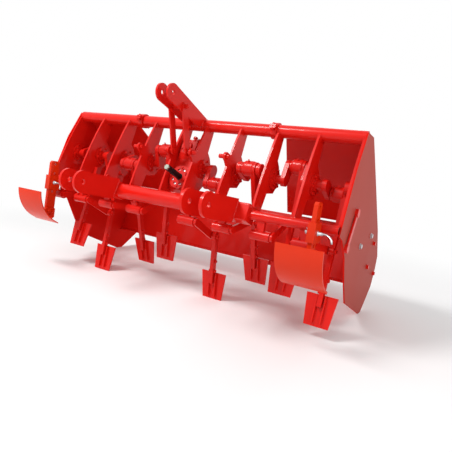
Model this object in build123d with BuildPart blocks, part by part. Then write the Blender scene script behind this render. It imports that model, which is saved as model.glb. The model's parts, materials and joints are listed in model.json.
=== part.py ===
from build123d import *
import os
from math import acos, atan2, cos, degrees, hypot, radians, sin

# Spading machine for a three-point hitch, eight spades wide.
# Sizes are in millimetres. The side view is drawn with the machine level as it works:
# "back" runs to the rear, "up" runs to the top, and the crankshaft's axis is at (0, 0).
# The whole machine then leans back as it stands parked, on two spades and both side plates.

# Frame across the machine
RIB_PITCH = 228.0
GEARBOX_BAY = 156.0
RIB_THICK = 12.0
SIDE_PLATE_THICK = 8.0
TUBE_AT = (-60.0, 252.0)
TUBE_R = 35.0
TUBE_WALL = 6.0
BEAM_AT = (-124.0, -252.0)
BEAM_R = 44.5
END_TUBE_R = 25.0
BOX_SIDE = 92.0
BOX_WALL = 8.0
COLLAR_R = 45.0
COLLAR_WIDTH = 34.0
COLLAR_EAR = 62.0
COLLAR_TABLE = (-457.0, 488.0)      # places across the width

# Crankshaft and spade linkage
THROW = 86.0
JOURNAL_R = 25.0
PIN_R = 22.0
WEB_THICK = 24.0
WEB_HALF_WIDTH = 33.0
RUNNING_GAP = 0.08
HEAD_R = 42.0
HEAD_ROUND = 11.0
COLLAR_HEAD_R = 33.0
HEAD_COLLAR = 10.0                  # width of the seal collar on each side
HEAD_LEFT = -27.0                   # along a bay, from its middle
HEAD_WIDTH = 85.0
HEAD_SIDE_GAP = 3.0
ARM_THICK = 24.0
ARM_LEFT = 34.0
SHANK_HALF = 15.0
EYE_R = 20.0
EYE_REACH = 296.0                   # crank pin to rocker pin
ROCKER_REACH = 194.0
ROCKER_PIVOT = (-86.0, -340.0)
ROCKER_THICK = 12.0
ROCKER_LEFT = 17.0
ROCKER_PIN_R = 11.0
ARM_BEND = 2.0                      # degrees, blade line behind the rocker pin's line
BLADE_TOP = 520.0                   # crank pin to the blade's upper edge
BLADE_TIP = 682.0
BLADE_THICK = 10.0
BLADE_TOP_WIDTH = 164.0
BLADE_TIP_WIDTH = 128.0
BLADE_RIB = (8.0, 15.0, 22.0)       # width, height and distance from the blade's middle
SHANK_LAP = 62.0
PARK_TURN = 9.95                    # crank angle as parked, degrees on from the table

# Bay number along the row of nine, and crank angle with the machine level
SPADE_TABLE = (
    (1, 30.0),
    (2, 300.0),
    (3, 210.0),
    (4, 120.0),
    (6, 255.0),
    (7, 165.0),
    (8, 75.0),
    (9, 345.0),
)

# Bearings on the ribs
FLANGE_R = 58.0
FLANGE_THICK = 14.0
HUB_R = 40.0
HUB_THICK = 9.0

# Hangers that carry the rockers
BARREL_R = 26.0
BARREL_LEFT = -92.0
BARREL_LENGTH = 106.0
HANGER_WIDTH = 40.0
HANGER_THICK = 12.0
HANGER_X = -62.0

# Hitch
HITCH_PIN_AT = (-418.0, -319.0)
HITCH_HOLE_R = 14.3
HITCH_HALF_SPREAD = 411.5
HITCH_HALF_GAP = 46.5
HITCH_PLATE = 16.0
HITCH_END_R = 62.0
TOP_PIN_AT = (-418.0, 247.0)
TOP_HOLE_R = 12.8
MAST_HALF_GAP = 30.0
MAST_THICK = 12.0
MAST_DEPTH = 96.0
STRUT_THICK = 10.0
STRUT_HALF = 22.0
LUG_AT = (-152.0, 34.0)
LUG_R = 24.0
LUG_PIN_R = 12.0
STRUT_TOP = (-302.0, 236.0)

# Gearbox and power take-off
BOX_HALF_WIDTH = 62.0
BOX_FRONT = -72.0
BOX_BACK = 92.0
BOX_TOP = 158.0
BOX_BOTTOM = -168.0
PTO_UP = -95.0
PTO_R = 17.46
PTO_JOURNAL_R = 20.0                # in the gearbox and the ring
PTO_LENGTH = 150.0
PTO_SHOULDER = 14.0                 # front of the journal, from the gearbox's face
PTO_SPIGOT_R = 34.0
PTO_SPIGOT_DEEP = 60.0
PTO_RING_R = 70.0
PTO_RING_THICK = 12.0

# Rear cover and board
BOARD_BACK = 690.0
BOARD_TOP = 8.0
BOARD_BOTTOM = -355.0
BOARD_THICK = 6.0
RAIL_SIDE = 36.0
COVER_THICK = 5.0

# Side plates, back and up along the outline
CORNER_BACK = 765.0
CORNER_UP = -500.0
SIDE_OUTLINE = (
    (-95, 264),
    (20, 298),
    (367, 150),
    (688, 10),
    (880, -110),
    (902, -190),
    (898, -310),
    (CORNER_BACK, CORNER_UP),
    (712, -520),
    (305, -520),
    (190, -440),
    (60, -330),
    (-60, -278),
    (-120, -278),
    (-124, 60),
)

LINK_TOP = (50.0, -100.0)
LINK_BOTTOM = (20.0, -293.0)
LINK_BOSS_R = 22.0
LINK_BOSS = 16.0
LINK_HALF = 15.0

# Skids
SKID_X = 900.0
BAR_THICK = 20.0
BAR_DEPTH = 62.0
SOCKET_WALL = 8.0
SOCKET_LENGTH = 92.0
SOCKET_GAP = 0.6
GUSSET_X = 4.0                      # right of the skid's middle, beside the rocker's hanger
GUSSET_THICK = 14.0
BAR_SLOPE = 17.5                    # degrees from upright, with the foot to the rear
SOCKET_AT = (-178.0, -295.3)
BAR_ABOVE = 140.0                   # socket's middle to the bar's top
BAR_BELOW = 227.0
SKID_NOSE = (-314.0, -400.0)
SKID_BOW = (-246.0, -492.0)
SKID_HEEL = (-140.0, -536.0)
SKID_TAIL = (-105.0, -540.0)
SKID_WIDTH = 220.0
SKID_THICK = 6.0
PIN_SPACING = 60.0
FIRST_PIN = 20.0                    # from the bar's top
PIN_HOLES = 4
SKID_PIN_R = 8.0

pieces = {}


def rib_places():
    """Middle of each of the ten ribs across the width, from left to right."""
    half = GEARBOX_BAY / 2
    right = [half + n * RIB_PITCH for n in range(5)]
    return [-x for x in reversed(right)] + right


RIBS = rib_places()
END_FACE = RIBS[-1] + RIB_THICK / 2
BAR_LEAN = radians(BAR_SLOPE)
ARM_MIDDLE = ARM_LEFT + ARM_THICK / 2


def bay_middle(bay):
    return (RIBS[bay - 1] + RIBS[bay]) / 2


def linkage(crank_angle):
    """Crank pin, rocker pin and the blade line's direction, in the level side view."""
    turn = radians(crank_angle + PARK_TURN)
    pin = Vector(THROW * cos(turn), THROW * sin(turn))
    pivot = Vector(*ROCKER_PIVOT)
    span = pin - pivot
    along = span.normalized()
    near = (span.length**2 + ROCKER_REACH**2 - EYE_REACH**2) / (2 * span.length)
    off = ROCKER_REACH * sin(acos(near / ROCKER_REACH))
    eye = pivot + along * near + Vector(along.Y, -along.X) * off
    to_eye = (eye - pin).normalized()
    blade_line = to_eye.rotate(Axis.Z, ARM_BEND)
    return pin, eye, blade_line


def lean_as_parked():
    """Angle of the ground under the lowest blades and the side plates' rear corners."""
    angles = []
    for bay, crank_angle in SPADE_TABLE:
        pin, eye, line = linkage(crank_angle)
        behind = Vector(-line.Y, line.X)
        for depth in (SHANK_HALF, SHANK_HALF + BLADE_THICK):
            edge = pin + line * BLADE_TIP + behind * depth
            angles.append(atan2(CORNER_UP - edge.Y, CORNER_BACK - edge.X))
    return max(angles)


LEAN = lean_as_parked()


BACK = Vector(0, cos(LEAN), -sin(LEAN))
UP = Vector(0, sin(LEAN), cos(LEAN))


def crank_axis_place():
    """The crank axis in the parked machine's frame, whose origin is the box's bottom middle."""
    reach = [(BACK * back + UP * up).Y for back, up in SIDE_OUTLINE]
    hitch = (BACK * HITCH_PIN_AT[0] + UP * HITCH_PIN_AT[1]).Y - HITCH_END_R
    ground = (BACK * CORNER_BACK + UP * CORNER_UP).Z
    return Vector(0, -(max(reach) + hitch) / 2, -ground)


CRANK_AXIS = crank_axis_place()


def place(x, back, up):
    """Point of the side view at width x, in the parked machine's frame."""
    return CRANK_AXIS + Vector(x, 0, 0) + BACK * back + UP * up


def side(x, at=(0.0, 0.0), turned=0.0):
    """Plane of the side view at width x. Local x is back, local y is up, and it faces right."""
    direction = BACK * cos(turned) + UP * sin(turned)
    return Plane(origin=place(x, *at), x_dir=direction, z_dir=(1, 0, 0))


def front(at):
    """Plane square to the power take-off, facing forward, at a point of the side view."""
    return Plane(origin=place(0, *at), x_dir=(1, 0, 0), z_dir=BACK * -1)


def plate(outline, x, thick, holes=()):
    """Flat plate in the side view. Each hole is (back, up, radius)."""
    with BuildPart() as made:
        with BuildSketch(side(x)):
            with BuildLine():
                Polyline(*outline, close=True)
            make_face()
            for back, up, radius in holes:
                with Locations((back, up)):
                    Circle(radius, mode=Mode.SUBTRACT)
        extrude(amount=thick)
    return made.part


def tube(at, x, length, radius, bore=0.0):
    with BuildPart() as made:
        with BuildSketch(side(x, at)):
            Circle(radius)
            if bore:
                Circle(bore, mode=Mode.SUBTRACT)
        extrude(amount=length)
    return made.part


def joined(*solids):
    """Solids of one piece, or like pieces that do not touch, as one part."""
    with BuildPart() as made:
        for solid in solids:
            add(solid)
    return made.part


# Top tube and its clamp collars
pieces["top_tube"] = tube(TUBE_AT, -END_FACE, 2 * END_FACE, TUBE_R, TUBE_R - TUBE_WALL)


def tube_collar(x):
    """Two-piece clamp round the top tube, with a bolted ear in front and behind."""
    with BuildPart() as made:
        with BuildSketch(side(x, TUBE_AT)):
            Circle(COLLAR_R)
            Rectangle(2 * COLLAR_EAR, 22)
            Circle(TUBE_R, mode=Mode.SUBTRACT)
            Rectangle(2 * COLLAR_EAR + 2, 2.5, mode=Mode.SUBTRACT)
        extrude(amount=COLLAR_WIDTH)
    return made.part


pieces["tube_collars"] = joined(*[tube_collar(x) for x in COLLAR_TABLE])

# Front beam: a round middle, a box under each pair of hitch plates, thin tubes outside
BOX_IN = HITCH_HALF_SPREAD - HITCH_HALF_GAP - HITCH_PLATE
BOX_OUT = RIBS[-3] + RIB_THICK / 2
pieces["front_beam"] = tube(BEAM_AT, -BOX_IN, 2 * BOX_IN, BEAM_R, BEAM_R - BOX_WALL)


def beam_box(x):
    half = BOX_SIDE / 2
    with BuildPart() as made:
        with BuildSketch(side(x, BEAM_AT)):
            RectangleRounded(BOX_SIDE, BOX_SIDE, BOX_WALL)
            Circle(END_TUBE_R, mode=Mode.SUBTRACT)
        extrude(amount=BOX_OUT - BOX_IN)
    return made.part


pieces["beam_boxes"] = joined(beam_box(-BOX_OUT), beam_box(BOX_IN))
END_TUBE = END_FACE - BOX_OUT
pieces["front_end_tubes"] = joined(
    tube(BEAM_AT, -END_FACE, END_TUBE, END_TUBE_R, END_TUBE_R - TUBE_WALL),
    tube(BEAM_AT, BOX_OUT, END_TUBE, END_TUBE_R, END_TUBE_R - TUBE_WALL),
)


def rib(x, with_lug):
    """Upright plate between the top tube and the front beam, with the bearing's bore."""
    foot = BEAM_AT[1] + 4
    box_foot = abs(x) < BOX_OUT
    foot_r = END_TUBE_R
    with BuildPart() as made:
        with BuildSketch(side(x - RIB_THICK / 2)):
            with BuildLine():
                ThreePointArc((-92, 236), (-114, 70), (BEAM_AT[0] + 6, foot))
                Polyline(
                    (BEAM_AT[0] + 6, foot),
                    (-34, foot + 20),
                    (-22, -96),
                    (52, -66),
                    (72, -20),
                    (72, 38),
                    (30, 84),
                    (-6, 104),
                    (-16, 236),
                    (-92, 236),
                )
            make_face()
            if with_lug:
                with BuildLine():
                    Polyline(
                        (-96, LUG_AT[1] + LUG_R),
                        (LUG_AT[0], LUG_AT[1] + LUG_R),
                        (LUG_AT[0], LUG_AT[1] - LUG_R),
                        (-96, LUG_AT[1] - 2.4 * LUG_R),
                        close=True,
                    )
                make_face()
                with Locations(LUG_AT):
                    Circle(LUG_R)
                    Circle(LUG_PIN_R, mode=Mode.SUBTRACT)
            Circle(FLANGE_R - 20, mode=Mode.SUBTRACT)
            with Locations(TUBE_AT):
                Circle(TUBE_R, mode=Mode.SUBTRACT)
            with Locations(BEAM_AT):
                if abs(x) > BOX_OUT:
                    Circle(foot_r, mode=Mode.SUBTRACT)
                elif abs(x) > BOX_IN:
                    Rectangle(BOX_SIDE, BOX_SIDE, mode=Mode.SUBTRACT)
                else:
                    Circle(BEAM_R, mode=Mode.SUBTRACT)
        extrude(amount=RIB_THICK)
    return made.part


LUG_RIBS = (3, 4, 5, 6)
ribs = [rib(x, number in LUG_RIBS) for number, x in enumerate(RIBS)]
pieces["ribs_left"] = joined(*ribs[:5])
pieces["ribs_right"] = joined(*ribs[5:])


def bearing(x):
    """Bolted bearing on the right face of a rib, with its hub towards the bay."""
    with BuildPart() as made:
        with BuildSketch(side(x)):
            Circle(FLANGE_R)
            Circle(JOURNAL_R + RUNNING_GAP, mode=Mode.SUBTRACT)
        extrude(amount=FLANGE_THICK)
        with BuildSketch(side(x + FLANGE_THICK)):
            Circle(HUB_R)
            Circle(JOURNAL_R + RUNNING_GAP, mode=Mode.SUBTRACT)
        extrude(amount=HUB_THICK)
    return made.part


def end_bearing(x):
    with BuildPart() as made:
        with BuildSketch(side(x - FLANGE_THICK)):
            Circle(FLANGE_R)
            Circle(JOURNAL_R + RUNNING_GAP, mode=Mode.SUBTRACT)
        extrude(amount=FLANGE_THICK)
    return made.part


inner_bearings = [bearing(x + RIB_THICK / 2) for x in RIBS[:4] + RIBS[5:9]]
pieces["bearings"] = joined(*inner_bearings, end_bearing(RIBS[9] - RIB_THICK / 2))

# Gearbox, one closed casting, with the power take-off's ring on its front
with BuildPart() as gearbox:
    with BuildSketch(side(-BOX_HALF_WIDTH)):
        with BuildLine():
            Polyline(
                (BOX_FRONT, BOX_BOTTOM + 12),
                (BOX_FRONT, 20),
                (BOX_FRONT - 8, 60),
                (BOX_FRONT - 8, BOX_TOP - 20),
                (BOX_FRONT + 20, BOX_TOP),
                (-12, BOX_TOP),
                (20, 108),
                (BOX_BACK - 30, 86),
                (BOX_BACK, 50),
                (BOX_BACK, -70),
                (30, BOX_BOTTOM),
                (BOX_FRONT + 12, BOX_BOTTOM),
                close=True,
            )
        make_face()
        Circle(JOURNAL_R + RUNNING_GAP, mode=Mode.SUBTRACT)
    extrude(amount=2 * BOX_HALF_WIDTH)
    with BuildSketch(side(-GEARBOX_BAY / 2 + RIB_THICK / 2)):
        Circle(FLANGE_R + 14)
        Circle(JOURNAL_R + RUNNING_GAP, mode=Mode.SUBTRACT)
    extrude(amount=GEARBOX_BAY - RIB_THICK)
    with BuildSketch(front((BOX_FRONT, PTO_UP))):
        Circle(PTO_SPIGOT_R)
    extrude(amount=-PTO_SPIGOT_DEEP, mode=Mode.SUBTRACT)
pieces["gearbox"] = gearbox.part

with BuildPart() as pto_ring:
    with BuildSketch(front((BOX_FRONT, PTO_UP))):
        Circle(PTO_SPIGOT_R)
        Circle(PTO_JOURNAL_R + RUNNING_GAP, mode=Mode.SUBTRACT)
    extrude(amount=-PTO_SPIGOT_DEEP)
    with BuildSketch(front((BOX_FRONT, PTO_UP))):
        Circle(PTO_RING_R)
        Circle(PTO_JOURNAL_R + RUNNING_GAP, mode=Mode.SUBTRACT)
        with PolarLocations(46, 8, 22.5):
            SlotOverall(22, 12, rotation=90, mode=Mode.SUBTRACT)
    extrude(amount=PTO_RING_THICK)
pieces["pto_ring"] = pto_ring.part

with BuildPart() as pto_shaft:
    with BuildSketch(front((BOX_FRONT + PTO_SPIGOT_DEEP - 4, PTO_UP))):
        Circle(PTO_JOURNAL_R)
    extrude(amount=PTO_SPIGOT_DEEP - 4 + PTO_SHOULDER)
    with BuildSketch(front((BOX_FRONT - PTO_SHOULDER, PTO_UP))):
        Circle(PTO_R)
    extrude(amount=PTO_LENGTH - PTO_SHOULDER)
pieces["pto_shaft"] = pto_shaft.part


def crank_throw(bay, crank_angle):
    """Journals, webs and pin of one bay, as one solid from rib to rib."""
    middle = bay_middle(bay)
    pin, eye, line = linkage(crank_angle)
    turn = atan2(pin.Y, pin.X)
    left_web = middle + HEAD_LEFT - HEAD_SIDE_GAP - WEB_THICK
    right_web = middle + HEAD_LEFT + HEAD_WIDTH + HEAD_SIDE_GAP
    start = middle - RIB_PITCH / 2
    with BuildPart() as made:
        with BuildSketch(side(start)):
            Circle(JOURNAL_R)
        extrude(amount=left_web - start)
        with BuildSketch(side(left_web, (pin.X, pin.Y))):
            Circle(PIN_R)
        extrude(amount=right_web + WEB_THICK - left_web)
        with BuildSketch(side(right_web)):
            Circle(JOURNAL_R)
        extrude(amount=start + RIB_PITCH - right_web)
        for x in (left_web, right_web):
            with BuildSketch(side(x, (pin.X / 2, pin.Y / 2), turn)):
                SlotOverall(THROW + 2 * WEB_HALF_WIDTH, 2 * WEB_HALF_WIDTH)
            extrude(amount=WEB_THICK)
    return made.part


def crank_half(rows, centre_start):
    throws = [crank_throw(bay, angle) for bay, angle in rows]
    stub = tube((0, 0), centre_start, GEARBOX_BAY / 2, JOURNAL_R)
    return joined(*throws, stub)


pieces["crankshaft_left"] = crank_half(SPADE_TABLE[:4], -GEARBOX_BAY / 2)
pieces["crankshaft_right"] = crank_half(SPADE_TABLE[4:], 0)


def cast_head(middle, pin):
    """Rounded drum between the seal collars of a spade's head."""
    with BuildPart() as made:
        with BuildSketch(side(middle + HEAD_LEFT + HEAD_COLLAR, (pin.X, pin.Y))):
            Circle(HEAD_R)
        extrude(amount=HEAD_WIDTH - 2 * HEAD_COLLAR)
        fillet(made.edges().filter_by(GeomType.CIRCLE), HEAD_ROUND)
    return made.part


def spade_arm(bay, crank_angle):
    """Round head on the crank pin, and a tapered arm with the rocker pin's eye."""
    middle = bay_middle(bay)
    pin, eye, line = linkage(crank_angle)
    down = atan2(line.Y, line.X)
    bend = radians(-ARM_BEND)
    eye_at = (EYE_REACH * cos(bend), EYE_REACH * sin(bend))
    shank_end = BLADE_TOP + SHANK_LAP
    with BuildPart() as made:
        with BuildSketch(side(middle + ARM_LEFT, (pin.X, pin.Y), down)):
            Circle(HEAD_R - 4)
            with BuildLine():
                Polyline(
                    (12, -34),
                    (200, -SHANK_HALF),
                    (shank_end, -SHANK_HALF),
                    (shank_end, SHANK_HALF),
                    (200, SHANK_HALF),
                    (12, 34),
                    close=True,
                )
            make_face()
            with Locations(eye_at):
                Circle(EYE_R)
                Circle(ROCKER_PIN_R, mode=Mode.SUBTRACT)
        extrude(amount=ARM_THICK)
        with BuildSketch(side(middle + HEAD_LEFT, (pin.X, pin.Y))):
            Circle(COLLAR_HEAD_R)
        extrude(amount=HEAD_WIDTH)
        add(cast_head(middle, pin))
        with BuildSketch(side(middle + HEAD_LEFT, (pin.X, pin.Y))):
            Circle(PIN_R + RUNNING_GAP)
        extrude(amount=HEAD_WIDTH, mode=Mode.SUBTRACT)
    return made.part


def spade_blade(bay, crank_angle):
    """Tapered blade behind the arm's shank, with a rib along each side of it."""
    middle = bay_middle(bay)
    pin, eye, line = linkage(crank_angle)
    behind = Vector(-line.Y, line.X)
    length = BLADE_TIP - BLADE_TOP
    corner = pin + line * BLADE_TOP + behind * SHANK_HALF
    face = Plane(
        origin=place(middle + ARM_MIDDLE, corner.X, corner.Y),
        x_dir=(1, 0, 0),
        z_dir=BACK * behind.X + UP * behind.Y,
    )
    sign = 1 if face.y_dir.dot(BACK * line.X + UP * line.Y) > 0 else -1
    rib_width, rib_height, rib_from = BLADE_RIB
    with BuildPart() as made:
        with BuildSketch(face):
            with BuildLine():
                Polyline(
                    (-BLADE_TOP_WIDTH / 2, 0),
                    (BLADE_TOP_WIDTH / 2, 0),
                    (BLADE_TIP_WIDTH / 2, sign * length),
                    (-BLADE_TIP_WIDTH / 2, sign * length),
                    close=True,
                )
            make_face()
        extrude(amount=BLADE_THICK)
        with BuildSketch(face):
            with Locations((-rib_from, sign * length * 0.46), (rib_from, sign * length * 0.46)):
                Rectangle(rib_width, length * 0.86)
        extrude(amount=-rib_height)
    return made.part


def rocker(bay, crank_angle):
    """Flat link from the barrel's pin to the arm's eye."""
    pin, eye, line = linkage(crank_angle)
    rise = atan2(eye.Y - ROCKER_PIVOT[1], eye.X - ROCKER_PIVOT[0])
    halfway = ((eye.X + ROCKER_PIVOT[0]) / 2, (eye.Y + ROCKER_PIVOT[1]) / 2)
    with BuildPart() as made:
        with BuildSketch(side(bay_middle(bay) + ROCKER_LEFT, halfway, rise)):
            SlotOverall(ROCKER_REACH + 2 * EYE_R, 2 * EYE_R)
            with Locations((-ROCKER_REACH / 2, 0), (ROCKER_REACH / 2, 0)):
                Circle(ROCKER_PIN_R, mode=Mode.SUBTRACT)
        extrude(amount=ROCKER_THICK)
    return made.part


def rocker_pin(bay):
    left = bay_middle(bay) + BARREL_LEFT - 6
    right = bay_middle(bay) + ROCKER_LEFT + ROCKER_THICK
    return tube(ROCKER_PIVOT, left, right - left, ROCKER_PIN_R)


def hanger(bay):
    """Barrel below the front beam, on a flat that is welded to the beam's underside."""
    middle = bay_middle(bay)
    reach = Vector(BEAM_AT[0] - ROCKER_PIVOT[0], BEAM_AT[1] - ROCKER_PIVOT[1])
    angle = atan2(reach.Y, reach.X)
    if abs(middle) > BOX_OUT:
        seat = END_TUBE_R
    elif abs(middle) > BOX_IN:
        seat = BOX_SIDE / 2 + 2
    else:
        seat = BEAM_R
    gap = reach.length
    with BuildPart() as made:
        with BuildSketch(side(middle + BARREL_LEFT, ROCKER_PIVOT)):
            Circle(BARREL_R)
            Circle(ROCKER_PIN_R, mode=Mode.SUBTRACT)
        extrude(amount=BARREL_LENGTH)
        with BuildSketch(side(middle + HANGER_X, ROCKER_PIVOT, angle)):
            with Locations((gap / 2, 0)):
                Rectangle(gap, HANGER_THICK + 6)
            Circle(ROCKER_PIN_R, mode=Mode.SUBTRACT)
            with Locations((gap, 0)):
                if abs(middle) > BOX_OUT or abs(middle) < BOX_IN:
                    Circle(seat, mode=Mode.SUBTRACT)
                else:
                    Rectangle(BOX_SIDE, BOX_SIDE, rotation=-degrees(angle), mode=Mode.SUBTRACT)
        extrude(amount=HANGER_WIDTH)
    return made.part


for bay, crank_angle in SPADE_TABLE:
    number = bay if bay < 5 else bay - 1
    pieces[f"spade_arm_{number}"] = spade_arm(bay, crank_angle)
    pieces[f"spade_blade_{number}"] = spade_blade(bay, crank_angle)

pieces["rockers"] = joined(*[rocker(bay, angle) for bay, angle in SPADE_TABLE])
pieces["rocker_pins"] = joined(*[rocker_pin(bay) for bay, angle in SPADE_TABLE])
pieces["rocker_hangers"] = joined(*[hanger(bay) for bay, angle in SPADE_TABLE])


def hitch_plate(x):
    """Rounded plate that holds a lower hitch pin in front of the beam's box."""
    back_edge = BEAM_AT[0] - BOX_SIDE / 2
    top = BEAM_AT[1] + BOX_SIDE / 2
    bottom = BEAM_AT[1] - BOX_SIDE / 2 - 24
    with BuildPart() as made:
        with BuildSketch(side(x)):
            with BuildLine():
                Polyline(
                    (HITCH_PIN_AT[0] + 8, HITCH_PIN_AT[1] + HITCH_END_R),
                    (back_edge, top + 14),
                    (back_edge, bottom),
                    (HITCH_PIN_AT[0] + 8, HITCH_PIN_AT[1] - HITCH_END_R),
                    close=True,
                )
            make_face()
            with Locations(HITCH_PIN_AT):
                Circle(HITCH_END_R)
                Circle(HITCH_HOLE_R, mode=Mode.SUBTRACT)
        extrude(amount=HITCH_PLATE)
    return made.part


def hitch_pair(middle):
    left = hitch_plate(middle - HITCH_HALF_GAP - HITCH_PLATE)
    right = hitch_plate(middle + HITCH_HALF_GAP)
    return joined(left, right)


pieces["lower_hitch_left"] = hitch_pair(-HITCH_HALF_SPREAD)
pieces["lower_hitch_right"] = hitch_pair(HITCH_HALF_SPREAD)


def mast_arm(x):
    """Flat arm from the top tube forward to the top link's pin."""
    top = TOP_PIN_AT[1] + MAST_DEPTH / 2
    with BuildPart() as made:
        with BuildSketch(side(x)):
            with BuildLine():
                Polyline(
                    (TOP_PIN_AT[0], top),
                    (TUBE_AT[0] - 16, top - 4),
                    (TUBE_AT[0] - 16, TUBE_AT[1]),
                    (TUBE_AT[0] - 60, TUBE_AT[1] - 42),
                    (TOP_PIN_AT[0] + 60, top - MAST_DEPTH + 4),
                    (TOP_PIN_AT[0], top - MAST_DEPTH),
                    close=True,
                )
            make_face()
            with Locations(TOP_PIN_AT):
                Circle(MAST_DEPTH / 2)
                Circle(TOP_HOLE_R, mode=Mode.SUBTRACT)
            with Locations(TUBE_AT):
                Circle(TUBE_R, mode=Mode.SUBTRACT)
            with Locations(STRUT_TOP):
                Circle(LUG_PIN_R, mode=Mode.SUBTRACT)
        extrude(amount=MAST_THICK)
    return made.part


pieces["mast_arms"] = joined(mast_arm(-MAST_HALF_GAP - MAST_THICK), mast_arm(MAST_HALF_GAP))


def strut(x):
    """Flat stay from a rib's lug up to the mast arm."""
    run = (STRUT_TOP[0] - LUG_AT[0], STRUT_TOP[1] - LUG_AT[1])
    length = hypot(*run)
    halfway = (LUG_AT[0] + run[0] / 2, LUG_AT[1] + run[1] / 2)
    with BuildPart() as made:
        with BuildSketch(side(x, halfway, atan2(run[1], run[0]))):
            SlotOverall(length + 2 * STRUT_HALF, 2 * STRUT_HALF)
            with Locations((-length / 2, 0), (length / 2, 0)):
                Circle(LUG_PIN_R, mode=Mode.SUBTRACT)
        extrude(amount=STRUT_THICK)
    return made.part


STRUT_X = MAST_HALF_GAP + MAST_THICK
pieces["mast_struts"] = joined(strut(-STRUT_X - STRUT_THICK), strut(STRUT_X))

LUG_PIN_IN = STRUT_X - 8
LUG_PIN_OUT = GEARBOX_BAY / 2 + RIB_THICK / 2 + 10
pieces["mast_pins"] = joined(
    tube(LUG_AT, -LUG_PIN_OUT, LUG_PIN_OUT - LUG_PIN_IN, LUG_PIN_R),
    tube(LUG_AT, LUG_PIN_IN, LUG_PIN_OUT - LUG_PIN_IN, LUG_PIN_R),
    tube(STRUT_TOP, -STRUT_X - STRUT_THICK - 8, 2 * (STRUT_X + STRUT_THICK + 8), LUG_PIN_R),
    tube(LUG_AT, RIBS[3] - 40, 60, LUG_PIN_R),
    tube(LUG_AT, RIBS[6] - 40, 60, LUG_PIN_R),
)

# Side plates, outside the end ribs
pieces["side_plate_left"] = plate(SIDE_OUTLINE, -END_FACE - SIDE_PLATE_THICK, SIDE_PLATE_THICK)
pieces["side_plate_right"] = plate(SIDE_OUTLINE, END_FACE, SIDE_PLATE_THICK)

# Short links outside the side plates' front edge


def side_link(x, outward):
    """Flat link between two bosses, on the outer face of a side plate."""
    run = (LINK_BOTTOM[0] - LINK_TOP[0], LINK_BOTTOM[1] - LINK_TOP[1])
    halfway = (LINK_TOP[0] + run[0] / 2, LINK_TOP[1] + run[1] / 2)
    length = hypot(*run)
    with BuildPart() as made:
        for point in (LINK_TOP, LINK_BOTTOM):
            with BuildSketch(side(x, point)):
                Circle(LINK_BOSS_R)
            extrude(amount=outward * LINK_BOSS)
        with BuildSketch(side(x + outward * 3, halfway, atan2(run[1], run[0]))):
            SlotOverall(length + 2 * LINK_HALF, 2 * LINK_HALF)
        extrude(amount=outward * (LINK_BOSS - 6))
    return made.part


pieces["side_links"] = joined(
    side_link(-END_FACE - SIDE_PLATE_THICK, -1), side_link(END_FACE + SIDE_PLATE_THICK, 1)
)

# Rear board and its rail between the side plates, and a cover over the outer bays
pieces["rear_board"] = plate(
    (
        (BOARD_BACK, BOARD_BOTTOM),
        (BOARD_BACK + BOARD_THICK, BOARD_BOTTOM),
        (BOARD_BACK + BOARD_THICK, BOARD_TOP - RAIL_SIDE),
        (BOARD_BACK, BOARD_TOP - RAIL_SIDE),
    ),
    -END_FACE,
    2 * END_FACE,
)
with BuildPart() as rear_rail:
    with BuildSketch(side(-END_FACE, (BOARD_BACK - 10, BOARD_TOP - RAIL_SIDE / 2))):
        Rectangle(RAIL_SIDE, RAIL_SIDE)
        Rectangle(RAIL_SIDE - 8, RAIL_SIDE - 8, mode=Mode.SUBTRACT)
    extrude(amount=2 * END_FACE)
pieces["rear_rail"] = rear_rail.part

COVER_FRONT = (TUBE_AT[0] + TUBE_R + 3, TUBE_AT[1] + 14)
COVER_REAR = (BOARD_BACK - 34, 18.0)
COVER_INNER_FRONT = RIBS[-3] + RIB_THICK
COVER_INNER_REAR = 400.0


def cover(direction):
    """Sheet from the top tube back to the rail, with its inner edge cut at a slant."""
    fall = atan2(COVER_REAR[1] - COVER_FRONT[1], COVER_REAR[0] - COVER_FRONT[0])
    length = hypot(COVER_REAR[0] - COVER_FRONT[0], COVER_REAR[1] - COVER_FRONT[1])
    edge = side(0, COVER_FRONT, fall)
    sheet = Plane(origin=edge.origin, x_dir=(1, 0, 0), z_dir=edge.y_dir)
    with BuildPart() as made:
        with BuildSketch(sheet):
            with BuildLine():
                Polyline(
                    (direction * COVER_INNER_FRONT, 0),
                    (direction * END_FACE, 0),
                    (direction * END_FACE, length),
                    (direction * COVER_INNER_REAR, length),
                    close=True,
                )
            make_face()
        extrude(amount=COVER_THICK)
    return made.part


pieces["covers"] = joined(cover(-1), cover(1))


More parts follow.
